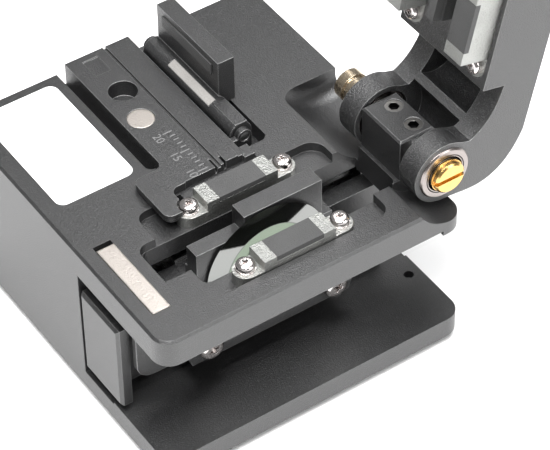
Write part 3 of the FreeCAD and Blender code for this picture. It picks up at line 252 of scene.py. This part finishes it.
def band(radius, inner, outer):
    """1 between two radii given in millimetres, 0 elsewhere."""
    return radius.above(inner * MM) * (1 - radius.above(outer * MM))


def wheel_steel(name):
    """Ground carbide: lapped middle with a faint green cast, mirror bevel, rings round the axle."""
    m = Shader(name)
    radius = from_axle(m, "blade_wheel")
    ring = rings(m, radius, 14.0)
    bevel = radius.above(7.5 * MM)
    line = band(radius, 7.35, 7.55)
    lapped = m.mix(ring, (0.150, 0.190, 0.140, 1), (0.190, 0.225, 0.180, 1))
    mirror = m.mix(ring, grey(0.20, (0.98, 1, 0.97)), grey(0.27, (0.98, 1, 0.97)))
    m.put(Base_Color=m.mix(line * 0.6, m.mix(bevel, lapped, mirror), grey(0.10)),
          Roughness=0.05 + 0.06 * ring + 0.07 * (1 - bevel), Metallic=1.0)
    m.bump(ring, 0.05, 0.01 * MM)
    return m.material


def socket_steel(name):
    """Dark screw steel, lighter grey on its end face and near black below it: the steel's own dark
    colour, and painted shade in the key socket.
    """
    m = Shader(name)
    soft = m.softened(0.10 * MM)
    marks = m.noise(3000, 3.0, 0.6)
    end_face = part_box("set_screws")[1][2]
    face = m.axes()[2].above(end_face - 0.08 * MM)
    # near black under the end face: the dark steel, and painted shade inside the key socket
    m.put(Base_Color=m.mix(face * (0.6 + 0.4 * marks), grey(0.008), grey(0.26, (1.03, 1, 0.96))),
          Roughness=0.30 + 0.15 * marks + 0.3 * (1 - face), Metallic=1.0)
    m.bump(marks, 1.0, 0.02 * MM, soft)
    return m.material


def race_steel(name):
    """Ground bearing rings, with painted shade in the gap between them and a rolled rim."""
    m = Shader(name)
    soft = m.softened(0.12 * MM)
    radius = from_axle(m, "bearing_outer_rings")
    shaded_gap = band(radius, 3.30, 3.50)
    ring = rings(m, radius, 6.0)
    face = m.mix(ring, (0.27, 0.240, 0.230, 1), (0.36, 0.325, 0.31, 1))
    # near black at the gap's radius: painted shade between the rings, also sunk by the bump as a
    # groove
    m.put(Base_Color=m.mix(shaded_gap * 0.9, face, grey(0.02)),
          Roughness=0.20 + 0.12 * ring + 0.3 * shaded_gap, Metallic=1.0)
    m.bump(1 - shaded_gap, 1.0, 0.06 * MM, soft)
    return m.material


def turned_brass(name):
    """Lathe-turned brass, its face marked in rings, a little tarnished."""
    m = Shader(name)
    soft = m.softened(0.10 * MM)
    ring = rings(m, from_axle(m, "hinge_shaft"), 9.0)
    cloud = m.noise(600, 3.0)
    m.put(Base_Color=m.mix(cloud, (0.62, 0.36, 0.11, 1), (0.80, 0.56, 0.22, 1)),
          Roughness=0.16 + 0.16 * ring, Metallic=1.0)
    m.bump(ring, 0.3, 0.01 * MM, soft)
    return m.material


def paper(name):
    """White satin vinyl."""
    m = Shader(name)
    fibre = m.noise(2500, 4.0)
    m.put(Base_Color=m.mix(fibre, grey(0.84), grey(0.90)), Roughness=0.45 + 0.1 * fibre)
    m.bump(fibre, 0.04, 0.03 * MM)
    return m.material


def ink(name):
    """Pale laser marking, slightly broken."""
    m = Shader(name)
    fleck = m.noise(9000, 3.0)
    m.put(Base_Color=m.mix(fleck, grey(0.05), grey(0.22)), Roughness=0.5 + 0.2 * fleck)
    return m.material


BLACK = anodised("black_anodised")
WORN = anodised("black_anodised_worn", edge=14.0, radius=0.20, sparkle=0.14)
BLASTED = anodised("black_anodised_coarse", rough=0.34, grain=4400, slope=0.7, edge=9.0, radius=0.2,
                   sparkle=0.32)
FROSTED = machined("frosted_nickel", grey(0.50, (0.99, 1, 0.96)), rough=0.42, grain=3600, slope=0.6,
                   stain=0.45, radius=0.16)
SET_STEEL = socket_steel("set_screw_steel")
BRIGHT = machined("bright_nickel", grey(0.74, (1.04, 0.98, 0.96)), rough=0.16, grain=1500, slope=0.03)
DARK_STEEL = machined("dark_steel", grey(0.34, (1.03, 1, 0.97)), rough=0.30, grain=3000)
WIRE = machined("spring_wire", grey(0.55), rough=0.25, grain=3000)
RAIL_STEEL = machined("rail_steel", grey(0.50), rough=0.28, lines=(600, 200, 9000))
BEARING_STEEL = race_steel("bearing_steel")
MAGNET = machined("magnet_plate", grey(0.56, (1.04, 0.96, 0.89)), rough=0.40, grain=2800, slope=0.12,
                  radius=0.35, speck=0.30)
BRASS = turned_brass("turned_brass")
PALE_BRASS = machined("pale_brass", (0.74, 0.62, 0.46, 1), rough=0.26, grain=2200, stain=0.3,
                      radius=0.2)
CARBIDE = wheel_steel("blade_carbide")
RUBBER = soft_black("dark_rubber", level=0.05)
PLASTIC = soft_black("black_plastic", level=0.035, rough=0.45)
PALE = soft_black("pale_strip", level=0.25, rough=0.4, tint=(1.04, 1, 0.95))
LABEL = paper("white_label")
MARKING = ink("scale_marking")

FINISH = {
    BLACK: ("body_frame",),
    WORN: ("adapter_plate", "slider_body", "blade_holder", "blade_guard", "lever_arm", "hinge_block"),
    BLASTED: ("lid_arm",),
    FROSTED: ("clamp_a_bracket", "clamp_b_bracket", "lid_clamp_a_bracket", "lid_clamp_b_bracket"),
    BRIGHT: ("clamp_washers", "clamp_screws", "lid_clamp_screws", "guard_screws", "blade_flange"),
    DARK_STEEL: ("hinge_block_screws", "rail_screws", "carriage_screws", "blade_screw", "anvil_plug"),
    SET_STEEL: ("set_screws",),
    WIRE: ("lid_clamp_a_springs", "lid_clamp_b_springs", "anvil_spring"),
    RAIL_STEEL: ("linear_rail", "rail_carriage", "shaft_spacers", "blade_bush", "lever_pin"),
    BEARING_STEEL: ("bearing_inner_rings", "bearing_outer_rings"),
    MAGNET: ("deck_magnet", "adapter_hold_magnet", "adapter_magnet", "lid_magnet"),
    BRASS: ("hinge_shaft",),
    PALE_BRASS: ("shaft_nut",),
    CARBIDE: ("blade_wheel",),
    RUBBER: ("clamp_a_rubber", "clamp_b_rubber", "lid_clamp_a_rubber", "lid_clamp_b_rubber",
             "rubber_mat", "anvil_tip", "lever_pad"),
    PLASTIC: ("anvil_holder",),
    PALE: ("lever_strip",),
}
for material, names in FINISH.items():
    for name in names:
        for slot in NODES[name].material_slots:
            slot.link = "OBJECT"
            slot.material = material


# ---------------------------------------------------------------- building
def piece(name, shape, material, body, smooth=None):
    """Finish a bmesh as a piece that rides on a body."""
    mesh = bpy.data.meshes.new(name)
    shape.to_mesh(mesh)
    shape.free()
    mesh.materials.append(material)
    made = bpy.data.objects.new(name, mesh)
    bpy.context.scene.collection.objects.link(made)
    if smooth is not None:
        mesh.shade_smooth()
        mesh.set_sharp_from_angle(angle=math.radians(smooth))
    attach(made, body)
    return made


def corners(node):
    """Lowest and highest corner of a CAD node."""
    low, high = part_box(node)
    return Vector(low), Vector(high)


# label: a bare white sheet with rounded corners, on the deck's front left
LABEL_INSET = Vector((2.05, 3.0)) * MM
LABEL_SIZE = Vector((24.5, 13.55)) * MM
deck_low, deck_high = corners("body_frame")
middle = deck_low.xy + LABEL_INSET + LABEL_SIZE / 2
sheet = bmesh.new()
bmesh.ops.create_grid(sheet, x_segments=1, y_segments=1, size=0.5)
bmesh.ops.scale(sheet, vec=(*LABEL_SIZE, 1), verts=sheet.verts)
bmesh.ops.bevel(sheet, geom=sheet.verts[:], offset=1.5 * MM, affect="VERTICES", segments=8,
                profile=0.5, material=-1)
bmesh.ops.translate(sheet, vec=(*middle, deck_high.z), verts=sheet.verts)
bmesh.ops.solidify(sheet, geom=sheet.faces[:], thickness=-0.08 * MM)
bmesh.ops.recalc_face_normals(sheet, faces=sheet.faces)
piece("label", sheet, LABEL, "frame")

# scale on the adapter, in front of the fibre's groove: marks 1 mm apart, every fifth long, with
# numbers in front of the long ones; all sizes in millimetres
MAGNET_SUNK = 0.05          # disc magnet under the plate's top
MARK_START = 5.95           # plate's right end to the first mark
MARK_OFF = 1.75             # groove to the near end of the marks
SHORT_MARK, LONG_MARK, MARK_WIDTH, MARK_HEIGHT = 0.95, 1.65, 0.22, 0.03
NUMBERS = (("10", 6.2), ("15", 10.65), ("20", 15.5))    # plate's right end to each number
NUMBER_OFF, NUMBER_SIZE = 4.45, 2.0
scale_top = corners("adapter_magnet")[1].z + MAGNET_SUNK * MM
plate_right = corners("adapter_plate")[1].x
clamp_low, clamp_high = corners("clamp_a_bracket")
groove = (clamp_low.y + clamp_high.y) / 2
marks = bmesh.new()
for count in range(11):
    length = SHORT_MARK if count % 5 else LONG_MARK
    bar = bmesh.ops.create_cube(marks, size=1.0)["verts"]
    bmesh.ops.scale(marks, vec=Vector((MARK_WIDTH, length, MARK_HEIGHT)) * MM, verts=bar)
    bmesh.ops.translate(marks, vec=(plate_right - (MARK_START + count) * MM,
                                    groove - (MARK_OFF + length / 2) * MM, scale_top), verts=bar)
piece("scale_marks", marks, MARKING, "adapter")
numbers = bmesh.new()
for text, off in NUMBERS:
    curve = bpy.data.curves.new("number_" + text, "FONT")
    curve.body = text
    curve.size = NUMBER_SIZE * MM
    curve.extrude = MARK_HEIGHT / 2 * MM
    curve.align_x = "CENTER"
    curve.align_y = "CENTER"
    carrier = bpy.data.objects.new("number_" + text, curve)
    bpy.context.scene.collection.objects.link(carrier)
    bpy.context.view_layer.update()
    flat = bpy.data.meshes.new_from_object(carrier)
    flat.transform(Matrix.Translation((plate_right - off * MM, groove - NUMBER_OFF * MM, scale_top)))
    numbers.from_mesh(flat)
    bpy.data.meshes.remove(flat)
    bpy.data.objects.remove(carrier)
bmesh.ops.remove_doubles(numbers, verts=numbers.verts, dist=1e-7)
piece("scale_numbers", numbers, MARKING, "adapter")


# pan heads: heights, the dome's rounding as a share of the height, and the recess as shares of the
# head's radius and height, narrowing downwards
CLAMP_HEAD, GUARD_HEAD = 1.1 * MM, 1.6 * MM
DOME = 0.55
RECESS_LONG, RECESS_WIDE, RECESS_DEEP = 1.15, 0.26, 1.3
RECESS_TAPER = (0.35, 0.8, 1)


def pan_head(shape, seat, out, radius, height, spin):
    """Pan-head screw standing on its seat: domed rim and a cross recess cut in the top."""
    head = bmesh.new()
    bmesh.ops.create_circle(head, cap_ends=True, radius=radius, segments=48)
    raised = bmesh.ops.extrude_face_region(head, geom=head.faces[:])["geom"]
    top_ring = [v for v in raised if isinstance(v, bmesh.types.BMVert)]
    bmesh.ops.translate(head, vec=(0, 0, height), verts=top_ring)
    edges = [e for e in head.edges if all(v.co.z > height / 2 for v in e.verts)]
    bmesh.ops.bevel(head, geom=edges, offset=height * DOME, offset_type="OFFSET", segments=7,
                    profile=0.5, affect="EDGES", material=-1)
    bmesh.ops.recalc_face_normals(head, faces=head.faces)
    solid = bpy.data.meshes.new("head")
    head.to_mesh(solid)
    head.free()
    tool = bmesh.new()
    for turned in (0, 90):
        bar = bmesh.ops.create_cube(tool, size=1.0)["verts"]
        bmesh.ops.scale(tool, vec=(radius * RECESS_LONG, radius * RECESS_WIDE, height * RECESS_DEEP),
                        verts=bar)
        bmesh.ops.scale(tool, vec=RECESS_TAPER, verts=[v for v in bar if v.co.z < 0])
        bmesh.ops.rotate(tool, cent=(0, 0, 0), verts=bar,
                         matrix=Matrix.Rotation(math.radians(turned + spin), 3, "Z"))
    bmesh.ops.translate(tool, vec=(0, 0, height), verts=tool.verts)
    cross = bpy.data.meshes.new("cross")
    tool.to_mesh(cross)
    tool.free()
    body = bpy.data.objects.new("head", solid)
    cutter = bpy.data.objects.new("cross", cross)
    for made in (body, cutter):
        bpy.context.scene.collection.objects.link(made)
    recess = body.modifiers.new("recess", "BOOLEAN")
    recess.operation = "DIFFERENCE"
    recess.solver = "EXACT"
    recess.use_self = True
    recess.object = cutter
    bpy.context.view_layer.update()
    finished = body.evaluated_get(bpy.context.evaluated_depsgraph_get())
    carved = bpy.data.meshes.new_from_object(finished)
    upright = Vector((0, 0, 1)).rotation_difference(Vector(out)).to_matrix().to_4x4()
    carved.transform(Matrix.Translation(seat) @ upright)
    shape.from_mesh(carved)
    bpy.data.objects.remove(body)
    bpy.data.objects.remove(cutter)
    for used in (carved, solid, cross):
        bpy.data.meshes.remove(used)


def solids_along(node, out):
    """Centre of the outer face along out, and half the width, of each separate solid of a node."""
    out = Vector(out)
    across = Vector((0, 1, 0)) if abs(out.x) > 0.5 else Vector((1, 0, 0))
    third = out.cross(across)
    shape = bmesh.new()
    shape.from_mesh(NODES[node].data)
    shape.transform(NODES[node].matrix_world)
    bmesh.ops.remove_doubles(shape, verts=shape.verts, dist=1e-6)
    left = set(shape.verts)
    found = []
    while left:
        group, open_ends = [], [left.pop()]
        while open_ends:
            vert = open_ends.pop()
            group.append(vert.co)
            for edge in vert.link_edges:
                other = edge.other_vert(vert)
                if other in left:
                    left.discard(other)
                    open_ends.append(other)
        spans = [(min(v.dot(a) for v in group), max(v.dot(a) for v in group))
                 for a in (across, third)]
        face = across * sum(spans[0]) / 2 + third * sum(spans[1]) / 2
        face += out * max(v.dot(out) for v in group)
        found.append((face, (spans[0][1] - spans[0][0]) / 2))
    shape.free()
    return sorted(found, key=lambda pair: tuple(pair[0]))


# clamp and guard screws: each at its CAD head's place and size, with a dome and a cross recess
JOINTS = {joint["name"]: joint for joint in frame["record"]["behaviour"]["joints"]}
lid_open = math.radians(JOINTS["lid_hinge"]["range_deg"][1])
LID_DOWN = (0, -math.sin(lid_open), -math.cos(lid_open))
for node, body, out, height in (("clamp_screws", "frame", (0, 0, 1), CLAMP_HEAD),
                                ("lid_clamp_screws", "lid", LID_DOWN, CLAMP_HEAD),
                                ("guard_screws", "slider", (1, 0, 0), GUARD_HEAD)):
    heads = bmesh.new()
    for count, (face, radius) in enumerate(solids_along(node, out)):
        pan_head(heads, face - Vector(out) * height, out, radius, height, 20 + 47 * count)
    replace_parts(piece(node + "_heads", heads, BRIGHT, body, 40), node)

# ---------------------------------------------------------------- stage and light
floor_shape = bmesh.new()
bmesh.ops.create_grid(floor_shape, x_segments=1, y_segments=1, size=3.0)
floor_mesh = bpy.data.meshes.new("floor")
floor_shape.to_mesh(floor_mesh)
floor_shape.free()
floor = bpy.data.objects.new("floor", floor_mesh)
bpy.context.scene.collection.objects.link(floor)
floor_paint = Shader("pale_floor")
floor_paint.put(Base_Color=grey(0.92), Roughness=0.9)
floor_mesh.materials.append(floor_paint.material)


def softbox(name, place, target, size, power):
    """Square white area light aimed at a point, out of the camera's sight."""
    data = bpy.data.lights.new(name, "AREA")
    data.energy = power
    data.size = size
    lamp = bpy.data.objects.new(name, data)
    lamp.location = place
    lamp.rotation_euler = (Vector(target) - Vector(place)).to_track_quat("-Z", "Y").to_euler()
    lamp.visible_camera = False
    bpy.context.scene.collection.objects.link(lamp)


bpy.context.scene.view_settings.view_transform = "Standard"
world = bpy.data.worlds.new("studio")
world.use_nodes = True
background = world.node_tree.nodes["Background"]
background.inputs["Color"].default_value = (1, 1, 1, 1)
background.inputs["Strength"].default_value = 0.25
bpy.context.scene.world = world
aim = (0.01, 0, 0.03)
softbox("back_light", place=(-0.055, 0.09, 0.24), target=aim, size=0.12, power=0.28)
softbox("top_light", place=(0.25, -0.25, 1.30), target=aim, size=1.0, power=41)
softbox("right_light", place=(0.9, 0.5, 0.5), target=aim, size=0.6, power=6)

# camera: a long lens from the front right, about 45 degrees above the deck, held a little askew
turn, lift, roll = math.radians(56.23), math.radians(44.63), math.radians(-0.83)
look_at = Vector((18.25, 0, 31)) * MM
distance = 0.409
back = Vector((math.sin(turn) * math.cos(lift), -math.cos(turn) * math.cos(lift), math.sin(lift)))
right = Vector((math.cos(turn), math.sin(turn), 0))
up = back.cross(right)
across = math.cos(roll) * right + math.sin(roll) * up
upward = -math.sin(roll) * right + math.cos(roll) * up
lens = bpy.data.cameras.new("camera")
lens.lens = 179.7
lens.sensor_width = 36
lens.clip_start = 0.01
camera = bpy.data.objects.new("camera", lens)
facing = Matrix((across, upward, back)).transposed().to_4x4()
camera.matrix_world = Matrix.Translation(look_at + back * distance) @ facing
bpy.context.scene.collection.objects.link(camera)
bpy.context.scene.camera = camera
